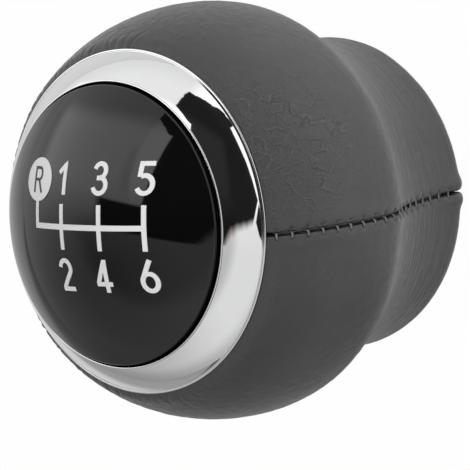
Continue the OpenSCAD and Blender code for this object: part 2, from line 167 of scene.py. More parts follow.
# Leather. Its wrinkles are deepest round WORKED_AT and fade out over WORKED_REACH
WORKED_AT, WORKED_REACH = (20.0, 9.0, 34.0), (13.5, 3.5)
WIDE_CELLS, FINE_CELLS, FINE_SHARE = 0.62, 1.45, 0.6
# Offset of the painted shadow beside each wrinkle
SHADOW_STEP = (0.08, 0.11, -0.05)
WRINKLE_H, FURROW_D, PORE_H, STREAK_H = 0.050, 0.046, 0.085, 0.13
# RING_SHADE_TONE is painted shade on the leather beside the ring
LEATHER_TONES, RING_SHADE_TONE = (0.060, 0.076), 0.046
# Painted highlight on the wrinkles, painted shadow beside them and painted shade along the seams, with the
# shares of the first two
WRINKLE_HIGHLIGHT_TONE, FURROW_SHADOW_TONE, SEAM_SHADE_TONE = 0.14, 0.012, 0.006
WRINKLE_HIGHLIGHT_SHARE, FURROW_SHADOW_SHARE = 0.30, 0.34
SEAM_SHADE_AT, SEAM_SHADE_W = 0.04, (0.32, 0.22)
# Thread, lacquer, foam and brass
THREAD_TONES, GLOSS_TONES, FOAM_TONES = (0.09, 0.19), (0.0020, 0.0032), (0.03, 0.07)
BRASS_TINTS = (0.62, 0.43, 0.17, 1.0), (0.72, 0.53, 0.24, 1.0)
# Chrome. The bore and the trim groove are rougher and have painted shade; in the groove only towards the
# camera's side
PLATE_TONE, PLATE_TINT, CHROME_SHADE_TONE = 0.74, (0.76, 0.765, 0.775, 1.0), 0.012
BORE_ROUGH_AND_SHADE = (0.06, 0.045)
TRIM_SIDE, TRIM_REACH = (0.906, 0.423, 0.0), (16.6, 18.2)


def grey(value):
    return (value, value, value, 1.0)


class Nodes:
    """Short way to build a node tree."""

    def __init__(self, tree):
        self.tree = tree
        tree.nodes.clear()

    def feed(self, socket, value):
        """Links a node's output to a socket, or sets the socket to a plain value."""
        if isinstance(value, bpy.types.NodeSocket):
            self.tree.links.new(value, socket)
        else:
            socket.default_value = value

    def add(self, kind, settings=None, **inputs):
        """New node. An input is given by its name, or by i and its number."""
        node = self.tree.nodes.new(kind)
        for key, value in (settings or {}).items():
            setattr(node, key, value)
        for key, value in inputs.items():
            numbered = key[0] == "i" and key[1:].isdigit()
            self.feed(node.inputs[int(key[1:]) if numbered else key], value)
        return node

    def split(self, vector):
        return self.add("ShaderNodeSeparateXYZ", None, Vector=vector).outputs

    def rays(self):
        """1 for rays from the camera, and 1 for rays that are mirrored or come through glass."""
        path = self.add("ShaderNodeLightPath")
        mirrored = self.math("MAXIMUM", path.outputs["Is Glossy Ray"], path.outputs["Is Transmission Ray"])
        return path.outputs["Is Camera Ray"], mirrored

    def math(self, operation, a, b=0.0, c=0.0):
        return self.add("ShaderNodeMath", {"operation": operation}, i0=a, i1=b, i2=c).outputs[0]

    def span(self, value, low, high, to_low=0.0, to_high=1.0):
        """Smooth step from low to high."""
        node = self.add("ShaderNodeMapRange", {"interpolation_type": "SMOOTHSTEP"}, Value=value)
        for name, number in (("From Min", low), ("From Max", high), ("To Min", to_low), ("To Max", to_high)):
            node.inputs[name].default_value = number
        return node.outputs[0]

    def mix(self, factor, a, b):
        node = self.add("ShaderNodeMix", {"data_type": "RGBA"})
        for number, value in ((0, factor), (6, a), (7, b)):
            self.feed(node.inputs[number], value)
        return node.outputs[2]

    def greys(self, factor, low, high):
        return self.mix(factor, grey(low), grey(high))

    def place(self, scale=(1, 1, 1)):
        """Object coordinates in millimetres, scaled."""
        coordinates = self.add("ShaderNodeTexCoord").outputs["Object"]
        return self.add("ShaderNodeMapping", None, Vector=coordinates,
                        Scale=tuple(s / MM for s in scale)).outputs[0]

    def noise(self, vector, scale, detail=3.0, roughness=0.5):
        return self.add("ShaderNodeTexNoise", None, Vector=vector, Scale=scale, Detail=detail,
                        Roughness=roughness).outputs[0]

    def creases(self, vector, scale, width):
        """Thin lines between cells: 0 in the line and 1 away from it."""
        cells = self.add("ShaderNodeTexVoronoi", {"feature": "DISTANCE_TO_EDGE"}, Vector=vector, Scale=scale)
        return self.span(cells.outputs["Distance"], 0.0, width)

    def dot(self, vector, direction):
        return self.add("ShaderNodeVectorMath", {"operation": "DOT_PRODUCT"}, i0=vector,
                        i1=tuple(direction)).outputs["Value"]

    def inside(self, plane, corners, soft):
        """1 inside a convex outline on a plane, with its corners in order against the clock."""
        mask = None
        for start, end in zip(corners, corners[1:] + corners[:1]):
            along = (Vector(end) - Vector(start)).normalized()
            inward = (-along.y, along.x, 0.0)
            edge = inward[0] * start[0] + inward[1] * start[1]
            side = self.span(self.dot(plane, inward), edge - soft, edge + soft)
            mask = side if mask is None else self.math("MINIMUM", mask, side)
        return mask

    def warp(self, vector, scale, amount):
        """Coordinates pushed about by noise, so that lines wander."""
        cloud = self.add("ShaderNodeTexNoise", None, Vector=vector, Scale=scale, Detail=2.0).outputs[1]
        centred = self.add("ShaderNodeVectorMath", {"operation": "SUBTRACT"}, i0=cloud, i1=(0.5, 0.5, 0.5))
        pushed = self.add("ShaderNodeVectorMath", {"operation": "SCALE"}, i0=centred.outputs[0], Scale=amount)
        return self.add("ShaderNodeVectorMath", {"operation": "ADD"}, i0=vector,
                        i1=pushed.outputs[0]).outputs[0]

    def bump(self, height, distance, strength=1.0):
        return self.add("ShaderNodeBump", None, Height=height, Distance=distance,
                        Strength=strength).outputs[0]

    def surface(self, colour, roughness, normal, **sockets):
        shader = self.add("ShaderNodeBsdfPrincipled")
        wanted = {"Base Color": colour, "Roughness": roughness, "Normal": normal, **sockets}
        for name, value in wanted.items():
            self.feed(shader.inputs[name], value)
        self.add("ShaderNodeOutputMaterial", None, i0=shader.outputs[0])


def new_material(name):
    material = bpy.data.materials.new(name)
    material.use_nodes = True
    return material, Nodes(material.node_tree)


def web(n, at, wide_line, fine_line):
    """Crossing wrinkles of two sizes: 0 between them, and most where they meet."""
    wide = n.creases(at, WIDE_CELLS, wide_line)
    fine = n.creases(at, FINE_CELLS, fine_line)
    both = n.math("ADD", wide, n.math("MULTIPLY", fine, FINE_SHARE))
    return n.math("SUBTRACT", 1.0 + FINE_SHARE, both)


def wrinkle_depth(n, at, height_up):
    """Share of their full depth that the wrinkles have: most round WORKED_AT, less in patches elsewhere."""
    away = n.add("ShaderNodeVectorMath", {"operation": "DISTANCE"}, i0=at, i1=WORKED_AT).outputs["Value"]
    worked = n.span(away, *WORKED_REACH)
    patches = n.span(n.noise(at, 0.11, 2.0), 0.48, 0.64, 0.04, 0.30)
    patches = n.math("MULTIPLY", patches, n.span(height_up, 14.0, 30.0, 0.4, 1.0))
    broken = n.span(n.noise(at, 0.5, 2.0), 0.32, 0.50)
    broken = n.math("MULTIPLY_ADD", broken, 0.65, 0.35)
    return n.math("MULTIPLY", n.math("MAXIMUM", worked, patches), broken)


def leather_material():
    """Dark grey leather: a web of fine raised wrinkles beside the ring with a painted highlight on each and a
    painted shadow beside it, pores, streaks on the neck, and painted shade beside the ring and along the
    seams.
    """
    material, n = new_material("leather_dressed")
    at = n.place()
    _, across, height_up = n.split(at)
    wandering = n.warp(n.warp(at, 0.22, 2.0), 1.1, 0.22)
    beside = n.add("ShaderNodeVectorMath", {"operation": "ADD"}, i0=wandering, i1=SHADOW_STEP).outputs[0]
    depth = wrinkle_depth(n, at, height_up)
    wrinkles = n.math("MULTIPLY", web(n, wandering, 0.055, 0.10), depth)
    furrows_and_shadows = n.math("MULTIPLY", web(n, beside, 0.070, 0.11), depth)
    # Height in millimetres. The streaks are deepest on the neck
    pores = n.math("MULTIPLY", n.noise(at, 2.4, 5.0, 0.65), PORE_H)
    streaks = n.math("MULTIPLY", n.noise(n.place((0.10, 0.10, 1.9)), 1.0, 3.0, 0.6), STREAK_H)
    on_neck = n.span(height_up, 20.0, 10.0, 0.10, 1.0)
    height = n.math("MULTIPLY_ADD", wrinkles, WRINKLE_H, n.math("MULTIPLY_ADD", streaks, on_neck, pores))
    height = n.math("MULTIPLY_ADD", furrows_and_shadows, -FURROW_D, height)
    # Colour
    face = n.greys(n.noise(at, 0.22, 3.0), *LEATHER_TONES)
    # Painted shade: the leather is darkened towards the ring
    face = n.mix(n.span(height_up, 29.0, 37.5), face, grey(RING_SHADE_TONE))
    # Painted shadow beside each wrinkle, where the leather also dips a little
    face = n.mix(n.math("MULTIPLY", furrows_and_shadows, FURROW_SHADOW_SHARE), face, grey(FURROW_SHADOW_TONE))
    # Painted highlight: the wrinkles are lighter, as if their ridges caught the light
    colour = n.mix(n.math("MULTIPLY", wrinkles, WRINKLE_HIGHLIGHT_SHARE), face, grey(WRINKLE_HIGHLIGHT_TONE))
    # Painted shade: the turned edges along the seams are darkened
    from_seam = n.math("SUBTRACT", height_up, SEAM_Z)
    from_seam = n.math("MULTIPLY_ADD", from_seam, math.tan(math.radians(SEAM_TILT)), across)
    from_seam = n.math("ABSOLUTE", n.math("SUBTRACT", from_seam, SEAM_SHADE_AT))
    colour = n.mix(n.span(from_seam, *SEAM_SHADE_W), colour, grey(SEAM_SHADE_TONE))
    roughness = n.span(n.noise(at, 1.1, 3.0), 0.3, 0.7, 0.40, 0.50)
    n.surface(colour, roughness, n.bump(height, MM, 0.9),
              **{"Specular IOR Level": 0.30, "Sheen Weight": 0.30, "Sheen Roughness": 0.28})
    return material


def thread_material():
    material, n = new_material("thread_dressed")
    fuzz = n.noise(n.place(), 9.0, 3.0, 0.7)
    n.surface(n.greys(fuzz, *THREAD_TONES), 0.5, n.bump(fuzz, MM * 0.03),
              **{"Sheen Weight": 0.2, "Specular IOR Level": 0.5})
    return material


def chrome_material():
    """Polished plating with faint hairlines. In the bore and in the trim groove it is rougher and darkened by
    painted shade.
    """
    material, n = new_material("chrome_dressed")
    at = n.place()
    x, y, _ = n.split(at)
    radius = n.math("SQRT", n.math("ADD", n.math("MULTIPLY", x, x), n.math("MULTIPLY", y, y)))
    bore = n.span(radius, *(RING_IN[0] + out for out in BORE_ROUGH_AND_SHADE))
    trim = n.span(n.math("ABSOLUTE", n.math("SUBTRACT", radius, trim_at)), TRIM_R * 1.1, TRIM_R * 0.8)
    trim = n.math("MULTIPLY", trim, n.span(n.dot(at, TRIM_SIDE), *TRIM_REACH))
    rough_and_shaded = n.math("MAXIMUM", bore, trim)
    hair = n.noise(n.place((0.2, 6.0, 6.0)), 1.0, 2.0)
    roughness = n.math("MULTIPLY_ADD", rough_and_shaded, 0.4, n.span(hair, 0.35, 0.75, 0.02, 0.05))
    plate = n.mix(n.noise(at, 0.5, 2.0), grey(PLATE_TONE), PLATE_TINT)
    # Painted shade darkens the plate in the bore and in the trim groove
    n.surface(n.mix(rough_and_shaded, plate, grey(CHROME_SHADE_TONE)), roughness,
              n.bump(n.noise(at, 0.12, 1.0), MM * 0.01), Metallic=1.0)
    return material


def gloss_material():
    """Gloss black lacquer with faint dust and polishing haze."""
    material, n = new_material("gloss_black_dressed")
    at = n.place()
    haze = n.span(n.noise(at, 0.4, 4.0, 0.6), 0.35, 0.7, 0.02, 0.05)
    n.surface(n.greys(n.noise(at, 2.5, 2.0), *GLOSS_TONES), haze,
              n.bump(n.noise(at, 0.10, 1.0), MM * 0.006), IOR=1.45)
    return material


def plastic_material(name, low, high):
    """Moulded plastic with a fine spark-eroded texture."""
    material, n = new_material(name)
    at = n.place()
    grain = n.noise(at, 7.0, 3.0, 0.6)
    n.surface(n.greys(n.noise(at, 0.8, 2.0), low, high), n.span(grain, 0.3, 0.7, 0.45, 0.62),
              n.bump(grain, MM * 0.02))
    return material


def brass_material():
    """Turned brass: fine rings left by the tool round the axis."""
    material, n = new_material("brass_dressed")
    rings = n.noise(n.place((0.3, 0.3, 9.0)), 1.0, 2.0)
    tone = n.mix(n.noise(n.place(), 0.7, 2.0), *BRASS_TINTS)
    n.surface(tone, n.span(rings, 0.3, 0.7, 0.22, 0.38), n.bump(rings, MM * 0.02), Metallic=1.0)
    return material


def foam_material():
    material, n = new_material("foam_dressed")
    cells = n.creases(n.place(), 3.0, 0.3)
    n.surface(n.greys(cells, *FOAM_TONES), 0.9, n.bump(cells, MM * 0.08))
    return material


def print_material(name, low, high):
    """Screen print: a slight mottle of the ink."""
    material, n = new_material(name)
    ink = n.noise(n.place(), 5.0, 3.0, 0.6)
    n.surface(n.greys(ink, low, high), 0.45, n.bump(ink, MM * 0.01))
    return material


LEATHER = leather_material()
THREAD = thread_material()
CHROME = chrome_material()
GLOSS = gloss_material()
BLACK_PLASTIC = plastic_material("black_plastic_dressed", 0.010, 0.016)
CORE_PLASTIC = plastic_material("core_plastic_dressed", 0.016, 0.024)
BRASS = brass_material()
FOAM = foam_material()
PRINT = print_material("print_dressed", 0.62, 0.70)
DARK_PRINT = print_material("dark_print_dressed", 0.004, 0.008)

for name, material in (
    ("core", CORE_PLASTIC), ("threaded_insert", BRASS), ("bottom_collar", BLACK_PLASTIC),
    ("cap_carrier", BLACK_PLASTIC), ("cap_pad", FOAM), ("gate_pattern", PRINT),
):
    NODES[name].material_slots[0].material = material


# Leather panels

# Spacing of the rows on the face, where they are hidden, and on the inner side
ROW_STEP, HIDDEN_STEP, INNER_STEP = 0.226, 0.7, 1.1
# Spacing of the columns beside a seam, and its growth from one to the next
SEAM_STEP, STEP_GROWTH = 0.05, 1.12
# Round of the turned edge. Between the stitches it waves by SCALLOP, in a small share of the panel
GROOVE_R, SCALLOP, SCALLOP_SHARE = 0.42, 0.05, 0.015
# Relief: height or depth, then lengths along and distances across the seam
PUFF_H, PUFF_AT, PUFF_W = 0.07, 1.1, 0.7
BED_D, BED_L, BED_W = 0.20, 0.30, 0.45
HOLE_D, HOLE_R, HOLE_AT = 0.30, 0.18, 0.44
SWELL_H, SWELL_AT, SWELL_W = 0.04, 0.5, 0.5
PUCKER_H, PUCKER_PAST, PUCKER_L, PUCKER_AT, PUCKER_W = 0.45, 0.2, 2.2, 0.9, 1.0
# Gathers that run out from under the ring. They are faint on the side that faces the camera
TUCK_PITCH, TUCK_SHIFT, TUCK_LEAN = 4.6, 0.03, 0.35
TUCK_L, TUCK_D, TUCK_W = (0.8, 3.4), (0.03, 0.13), 0.22
SWOLLEN_H, SWOLLEN_AT, SWOLLEN_W = 0.35, 0.5, 0.35
TUCK_RING_R, TUCK_FROM = BALL_R * 0.86, 0.6
FAINT_AT, FAINT_COS, FAINT_SHARE = 20, 0.45, 0.12
TUCK_SEED = 5
# Waves, unevenness and the neck's rings: height, size, octaves and seed of their noise
WAVES, UNEVEN, NECK_RINGS = (0.035, 5.5, 3, 1), (0.030, 1.1, 3, 2), (0.022, 0.9, 2, 3)
NECK_STRETCH = (0.16, 0.16, 1.0)
# How far the relief reaches under the ring and round the foot, and the length in which it fades
RELIEF_UP, RELIEF_DOWN, RELIEF_FADE = 3.5, 5.5, 1.5


def arc(centre, radius, start, end, step):
    """Arc as rows of radius, height and the slope of the normal. A hollow arc has a negative radius."""
    count = max(2, round(abs(math.radians(end - start) * radius) / step))
    a = np.radians(np.linspace(start, end, count + 1))
    return np.stack([centre[0] + radius * np.cos(a), centre[1] + radius * np.sin(a), a], 1)


def straight(start, end, slope, step):
    """Straight stretch as the same kind of rows."""
    count = max(1, round(math.dist(start, end) / step))
    k = np.linspace(0, 1, count + 1)[:, None]
    line = np.array(start) * (1 - k) + np.array(end) * k
    return np.concatenate([line, np.full((count + 1, 1), math.radians(slope))], 1)


def outline(step):
    """The leather's face from the hem under the ring, over the grip, to the hem in the foot."""
    hidden = max(step, HIDDEN_STEP)
    upper_in = UPPER_LIP_R - ROLL_R
    lower_in = lower_lip_r - ROLL_R
    parts = [
        straight((upper_in, upper_lip_z - UPPER_HEM), (upper_in, upper_lip_z), 180, hidden),
        arc((UPPER_LIP_R, upper_lip_z), ROLL_R, 180, 80, hidden),
        arc((UPPER_LIP_R, upper_lip_z), ROLL_R, 80, upper_lip_a, step),
        arc((0, BALL_Z), BALL_R, upper_lip_a, -SHOULDER_A, step),
        arc(shoulder_c, SHOULDER_R, -SHOULDER_A, -sweep_a, step),
        arc((sweep_x, sweep_z), -SWEEP_R, -sweep_a, 0, step),
        straight((NECK_R, sweep_z), (NECK_R, LOWER_LIP_Z), 0, step),
        arc((lower_lip_r, LOWER_LIP_Z), ROLL_R, 0, -100, step),
        arc((lower_lip_r, LOWER_LIP_Z), ROLL_R, -100, -180, hidden),
        straight((lower_in, LOWER_LIP_Z), (lower_in, LOWER_LIP_Z + LOWER_HEM), -180, hidden),
    ]
    return np.concatenate([parts[0]] + [p[1:] for p in parts[1:]])


def along(rows):
    """Length along the face for each row, with 0 where the ball begins beside the ring."""
    steps = np.hypot(np.diff(rows[:, 0]), np.diff(rows[:, 1]))
    s = np.concatenate([[0], np.cumsum(steps)])
    return s - (UPPER_HEM + math.radians(180 - upper_lip_a) * ROLL_R)


def column_shares(width):
    """Shares from 0 to 1 across a panel, close together beside the seams."""
    d, step = [0.0], SEAM_STEP
    while d[-1] < width / 2:
        d.append(d[-1] + step)
        step = min(step * STEP_GROWTH, ROW_STEP)
    half = np.array(d) / d[-1] / 2
    return np.concatenate([half, 1 - half[-2::-1]])


def seam_y(z):
    """Where the tilted seam plane lies, at a height."""
    return -(z - SEAM_Z) * math.tan(math.radians(SEAM_TILT))


def bell(x, width):
    """1 at x = 0, falling to 0 on both sides."""
    return np.exp(-((x / width) ** 2))


def field(points, height, size, octaves, seed):
    """Smooth noise of about -height to height at each point."""
    shift = Vector((seed * 17.3, seed * -9.1, seed * 5.7))
    return height * np.array([noise.fractal(Vector(p) / size + shift, 0.8, 2.0, octaves) for p in points])


def tuck_creases(s, phi, seed):
    """Short creases that run out from under the ring, where the leather is gathered over the lip."""
    rng = np.random.default_rng(seed)
    height = np.zeros_like(s)
    for angle in np.radians(np.arange(0, 360, TUCK_PITCH)):
        angle = angle + rng.uniform(-TUCK_SHIFT, TUCK_SHIFT)
        length = rng.uniform(*TUCK_L)
        faint = math.cos(angle - math.radians(FAINT_AT)) > FAINT_COS
        depth = rng.uniform(*TUCK_D) * (FAINT_SHARE if faint else 1.0)
        lean = rng.uniform(-TUCK_LEAN, TUCK_LEAN)
        across = np.angle(np.exp(1j * (phi - angle))) * TUCK_RING_R - lean * (s + 1)
        fade = np.clip(1 - (s + TUCK_FROM) / length, 0, 1)
        height -= depth * fade * bell(across, TUCK_W)
        beside = bell(across - SWOLLEN_AT, SWOLLEN_W) + bell(across + SWOLLEN_AT, SWOLLEN_W)
        height += SWOLLEN_H * depth * fade * beside
    return height


def seam_relief(s, d):
    """Turned edge, stitch beds with their holes, and the pucker where the seam ends in the foot."""
    e = np.maximum(d - SEAM_GAP / 2, 0)
    k = GROOVE_R - np.minimum(e, GROOVE_R)
    turned_in = -(GROOVE_R - np.sqrt(np.maximum(GROOVE_R**2 - k**2, 0)))
    height = turned_in + PUFF_H * bell(e - PUFF_AT, PUFF_W)
    for stitch in stitch_s:
        at = s - stitch
        height -= BED_D * bell(at, BED_L) * bell(e, BED_W)
        height -= HOLE_D * bell(at, HOLE_R) * bell(e - HOLE_AT, HOLE_R)
        height += SWELL_H * bell(at - STITCH_PITCH / 2, SWELL_W) * bell(e - SWELL_AT, SWELL_W)
    pucker = bell(s - seam_len - PUCKER_PAST, PUCKER_L) * bell(d - PUCKER_AT, PUCKER_W)
    return height + PUCKER_H * pucker


def leather_height(points, s, phi, d):
    """How far the leather's face lies outside the plain outline."""
    z = points[:, 2]
    height = seam_relief(s, d) + tuck_creases(s, phi, TUCK_SEED)
    height += field(points, *WAVES)
    # The unevenness is weak at the foot, and the rings fade out where the ball begins
    height += field(points, *UNEVEN) * np.clip((z - 6) / 14, 0.25, 1)
    height += field(points * np.array(NECK_STRETCH), *NECK_RINGS) * np.clip((20 - z) / 8, 0, 1)
    shown = np.clip((s + RELIEF_UP) / RELIEF_FADE, 0, 1)
    return height * shown * np.clip((seam_len + RELIEF_DOWN - s) / RELIEF_FADE, 0, 1)


def grid_faces(rows, columns, flip):
    """Quads of a grid of corners that is listed row by row."""
    faces = []
    for i in range(rows - 1):
        for j in range(columns - 1):
            a, b = i * columns + j, i * columns + j + 1
            quad = (a, b, b + columns, a + columns)
            faces.append(quad[::-1] if flip else quad)
    return faces


def zip_edges(first, second, flip):
    """Triangles that join two chains of corners with different counts."""
    faces, i, j = [], 0, 0
    while i < len(first) - 1 or j < len(second) - 1:
        take_first = j == len(second) - 1 or (
            i < len(first) - 1 and (i + 1) / (len(first) - 1) <= (j + 1) / (len(second) - 1))
        if take_first:
            face = (first[i], first[i + 1], second[j])
            i += 1
        else:
            face = (first[i], second[j + 1], second[j])
            j += 1
        faces.append(face[::-1] if flip else face)
    return faces


def leather_panel(name, node, side):
    """One panel with its thickness. side is 1 for the panel towards +Y and -1 for the other."""
    shares = column_shares(math.pi * BALL_R)
    columns = len(shares)
    layers = []
    for rows, inset in ((outline(ROW_STEP), 0.0), (outline(INNER_STEP), LEATHER_T)):
        r0 = rows[:, 0:1] - inset * np.cos(rows[:, 2:3])
        z0 = rows[:, 1:2] - inset * np.sin(rows[:, 2:3])
        s = along(rows)[:, None] + 0 * shares
        scallop = SCALLOP * np.cos(2 * np.pi * (s - stitch_s[0]) / STITCH_PITCH) * (inset == 0)
        wave = side * scallop * bell(shares, SCALLOP_SHARE)
        edge = np.arcsin((side * seam_y(z0) + SEAM_GAP / 2 - wave) / r0)
        phi = side * (edge + shares * (np.pi - 2 * edge))
        points = np.stack([r0 * np.cos(phi), r0 * np.sin(phi), z0 + 0 * phi], -1)
        if inset == 0:
            d = np.minimum(shares, 1 - shares) * (np.pi - 2 * edge) * r0 + SEAM_GAP / 2
            flat = points.reshape(-1, 3)
            lift = leather_height(flat, s.ravel(), phi.ravel(), d.ravel()).reshape(s.shape)
            slope = rows[:, 2:3]
            normal = np.stack([np.cos(slope) * np.cos(phi), np.cos(slope) * np.sin(phi),
                               np.sin(slope) + 0 * phi], -1)
            points = points + lift[..., None] * normal
        layers.append(points)
    outer, inner = layers
    n_out, n_in = len(outer), len(inner)
    base = n_out * columns
    faces = grid_faces(n_out, columns, side > 0)
    faces += [tuple(i + base for i in f) for f in grid_faces(n_in, columns, side < 0)]
    first_out = list(range(columns))
    last_out = [(n_out - 1) * columns + j for j in range(columns)]
    first_in = [base + j for j in range(columns)]
    last_in = [base + (n_in - 1) * columns + j for j in range(columns)]
    faces += zip_edges(first_out, first_in, side < 0)
    faces += zip_edges(last_out, last_in, side > 0)
    for column, flip in ((0, side > 0), (columns - 1, side < 0)):
        faces += zip_edges([i * columns + column for i in range(n_out)],
                           [base + i * columns + column for i in range(n_in)], flip)
    points = np.concatenate([outer.reshape(-1, 3), inner.reshape(-1, 3)])
    sew_on(make_mesh(name, points, faces, LEATHER), "leather", node)


leather_panel("front_panel", "leather_front", 1)
leather_panel("rear_panel", "leather_rear", -1)


# Sewing thread

def on_face(s):
    """Point of the outline at a length from the ring, as radius, height and slope of the normal."""
    if s < 0:
        a = math.radians(upper_lip_a) - s / ROLL_R
        return UPPER_LIP_R + ROLL_R * math.cos(a), upper_lip_z + ROLL_R * math.sin(a), a
    if s < ball_len:
        a = math.radians(upper_lip_a) - s / BALL_R
        return BALL_R * math.cos(a), BALL_Z + BALL_R * math.sin(a), a
    if s < ball_len + shoulder_len:
        a = -math.radians(SHOULDER_A) - (s - ball_len) / SHOULDER_R
        return shoulder_c[0] + SHOULDER_R * math.cos(a), shoulder_c[1] + SHOULDER_R * math.sin(a), a
    a = -math.radians(sweep_a) + (s - ball_len - shoulder_len) / SWEEP_R
    return sweep_x - SWEEP_R * math.cos(a), sweep_z - SWEEP_R * math.sin(a), a


# Start, end, middle and level part of a stitch across the seam, on the ball and on the neck
BALL_STITCH = (-0.60, 0.22, -0.26, 0.16)
NECK_STITCH = (-0.56, 0.46, -0.05, 0.32)
NECK_FROM = 18.0
# Beyond its level part a stitch dives into its hole. TWIST is the strands' turn in radians a millimetre
STITCH_POINTS, STITCH_SIDES, STITCH_TWIST = 13, 12, 7.0
STITCH_SUNK, STITCH_LEAN = 0.10, 0.10
DIVE_DEPTH, DIVE_RUN = 0.40, 0.20
# The run of thread in the groove under the stitches
RUN_R, RUN_DEPTH, RUN_STEP, RUN_SIDES, RUN_TWIST = 0.13, 0.95, 0.35, 8, 5.0
# Share of its radius that a thread has at its first and second ring of corners, and the depth of its ply
TAPER = (0.55, 0.9)
PLY = 0.16


def tube(path, radius, sides, twist):
    """Closed tube of two plied strands along a path: its section has two lobes that turn as it goes."""
    path = np.array(path)
    tangent = np.gradient(path, axis=0)
    tangent /= np.linalg.norm(tangent, axis=1)[:, None]
    up = np.array([0.0, 0.0, 1.0]) if abs(tangent[0][2]) < 0.9 else np.array([1.0, 0.0, 0.0])
    points, run = [], 0.0
    for i, (p, t) in enumerate(zip(path, tangent)):
        side = np.cross(t, up)
        side /= np.linalg.norm(side)
        up = np.cross(side, t)
        run += np.linalg.norm(path[i] - path[i - 1]) if i else 0.0
        end = min(i, len(path) - 1 - i)
        taper = TAPER[end] if end < len(TAPER) else 1.0
        for k in range(sides):
            angle = 2 * math.pi * k / sides
            r = radius * taper * (1 - PLY + PLY * math.cos(2 * (angle - twist * run)))
            points.append(p + r * (math.cos(angle) * side + math.sin(angle) * up))
    faces = []
    for i in range(len(path) - 1):
        for k in range(sides):
            a, b = i * sides + k, i * sides + (k + 1) % sides
            faces.append((a, b, b + sides, a + sides))
    faces.append(tuple(range(sides))[::-1])
    faces.append(tuple((len(path) - 1) * sides + k for k in range(sides)))
    return points, faces


def seam_frame(s, side):
    """Place on the seam with its directions: out of the leather, and across the seam towards +Y."""
    r, z, a = on_face(s)
    y = seam_y(z)
    x = math.sqrt(r * r - y * y)
    out = np.array([side * math.cos(a) * x / r, math.cos(a) * y / r, math.sin(a)])
    return np.array([side * x, y, z]), out, np.array([0.0, 1.0, 0.0])


def stitches(name, node, side):
    """All stitches of one seam, and the run of thread in the groove under them."""
    parts = []
    for i, s in enumerate(stitch_s):
        place, out, across = seam_frame(s, side)
        run = np.cross(out, across)
        lean = STITCH_LEAN * (-1) ** i
        path = []
        start, end, middle, level = NECK_STITCH if s > NECK_FROM else BALL_STITCH
        for b in np.linspace(start, end, STITCH_POINTS):
            over = -STITCH_SUNK - DIVE_DEPTH * max(0.0, abs(b - middle) - level) / DIVE_RUN
            path.append(place + b * across + over * out + lean * b * run)
        parts.append(tube(path, THREAD_R, STITCH_SIDES, STITCH_TWIST))
    run_path = []
    for s in np.arange(stitch_s[0], stitch_s[-1] + 0.01, RUN_STEP):
        place, out, _ = seam_frame(s, side)
        run_path.append(place - RUN_DEPTH * out)
    parts.append(tube(run_path, RUN_R, RUN_SIDES, RUN_TWIST))
    points, faces = join_meshes(parts)
    sew_on(make_mesh(name, points, faces, THREAD), "thread", node)


stitches("right_seam_stitches", "seam_thread_right", 1)
stitches("left_seam_stitches", "seam_thread_left", -1)


# Chrome ring and gloss cap

def spin(section, columns):
    """Closed solid of revolution of a closed section, listed with the material on its left."""
    section = np.array(section)
    turn = np.linspace(0, 2 * np.pi, columns, endpoint=False)
    points = [(r * c, r * s, z) for r, z in section for c, s in zip(np.cos(turn), np.sin(turn))]
    faces = []
    for i in range(len(section)):
        low, high = i * columns, (i + 1) % len(section) * columns
        for j in range(columns):
            k = (j + 1) % columns
            faces.append((low + j, low + k, high + k, high + j))
    return points, faces


def bow(centre, radius, start, end, count):
    """Points of an arc in the section."""
    a = np.radians(np.linspace(start, end, count))
    return [(centre[0] + radius * c, centre[1] + radius * s) for c, s in zip(np.cos(a), np.sin(a))]


def bezel():
    """Crowned ring with a bead at each edge and a fine groove inside the outer bead."""
    inner_bead = (RING_IN[0] + LIP_R, RING_IN[1] - LIP_R / 2)
    outer_bead = (RING_OUT[0] - BEAD_R, RING_OUT[1] + BEAD_LIFT)
    lip = (RING_IN[0] + LIP_RUN - crown_c[0], RING_IN[1] - LIP_DROP - crown_c[1])
    lip_a = math.degrees(math.atan2(lip[1], lip[0]))
    under_r = CROWN_R - RING_T
    under_a = [math.degrees(math.asin((z - crown_c[1]) / under_r)) for z in (FLANGE_LOW, UNDER_LOW)]
    half = math.degrees(TRIM_R / CROWN_R)
    middle = bow(crown_c, CROWN_R, trim_a, trim_a, 1)[0]
    section = [(RING_IN[0], FLANGE_HIGH), (FLANGE_IN, FLANGE_HIGH), (FLANGE_IN, FLANGE_LOW)]
    section += bow(crown_c, under_r, *under_a, 5)
    section += bow((UPPER_LIP_R, upper_lip_z), ROLL_R + RING_CLEAR, 100, 73, 8)
    section += bow(outer_bead, BEAD_R, -50, 105, 16)
    section += bow(middle, TRIM_R, trim_a - 75, trim_a - 270, 10)
    section += bow(crown_c, CROWN_R, trim_a + half + 0.1, lip_a, 64)
    section += bow(inner_bead, LIP_R, -5, 180, 20)
    return spin(section, RING_COLUMNS)


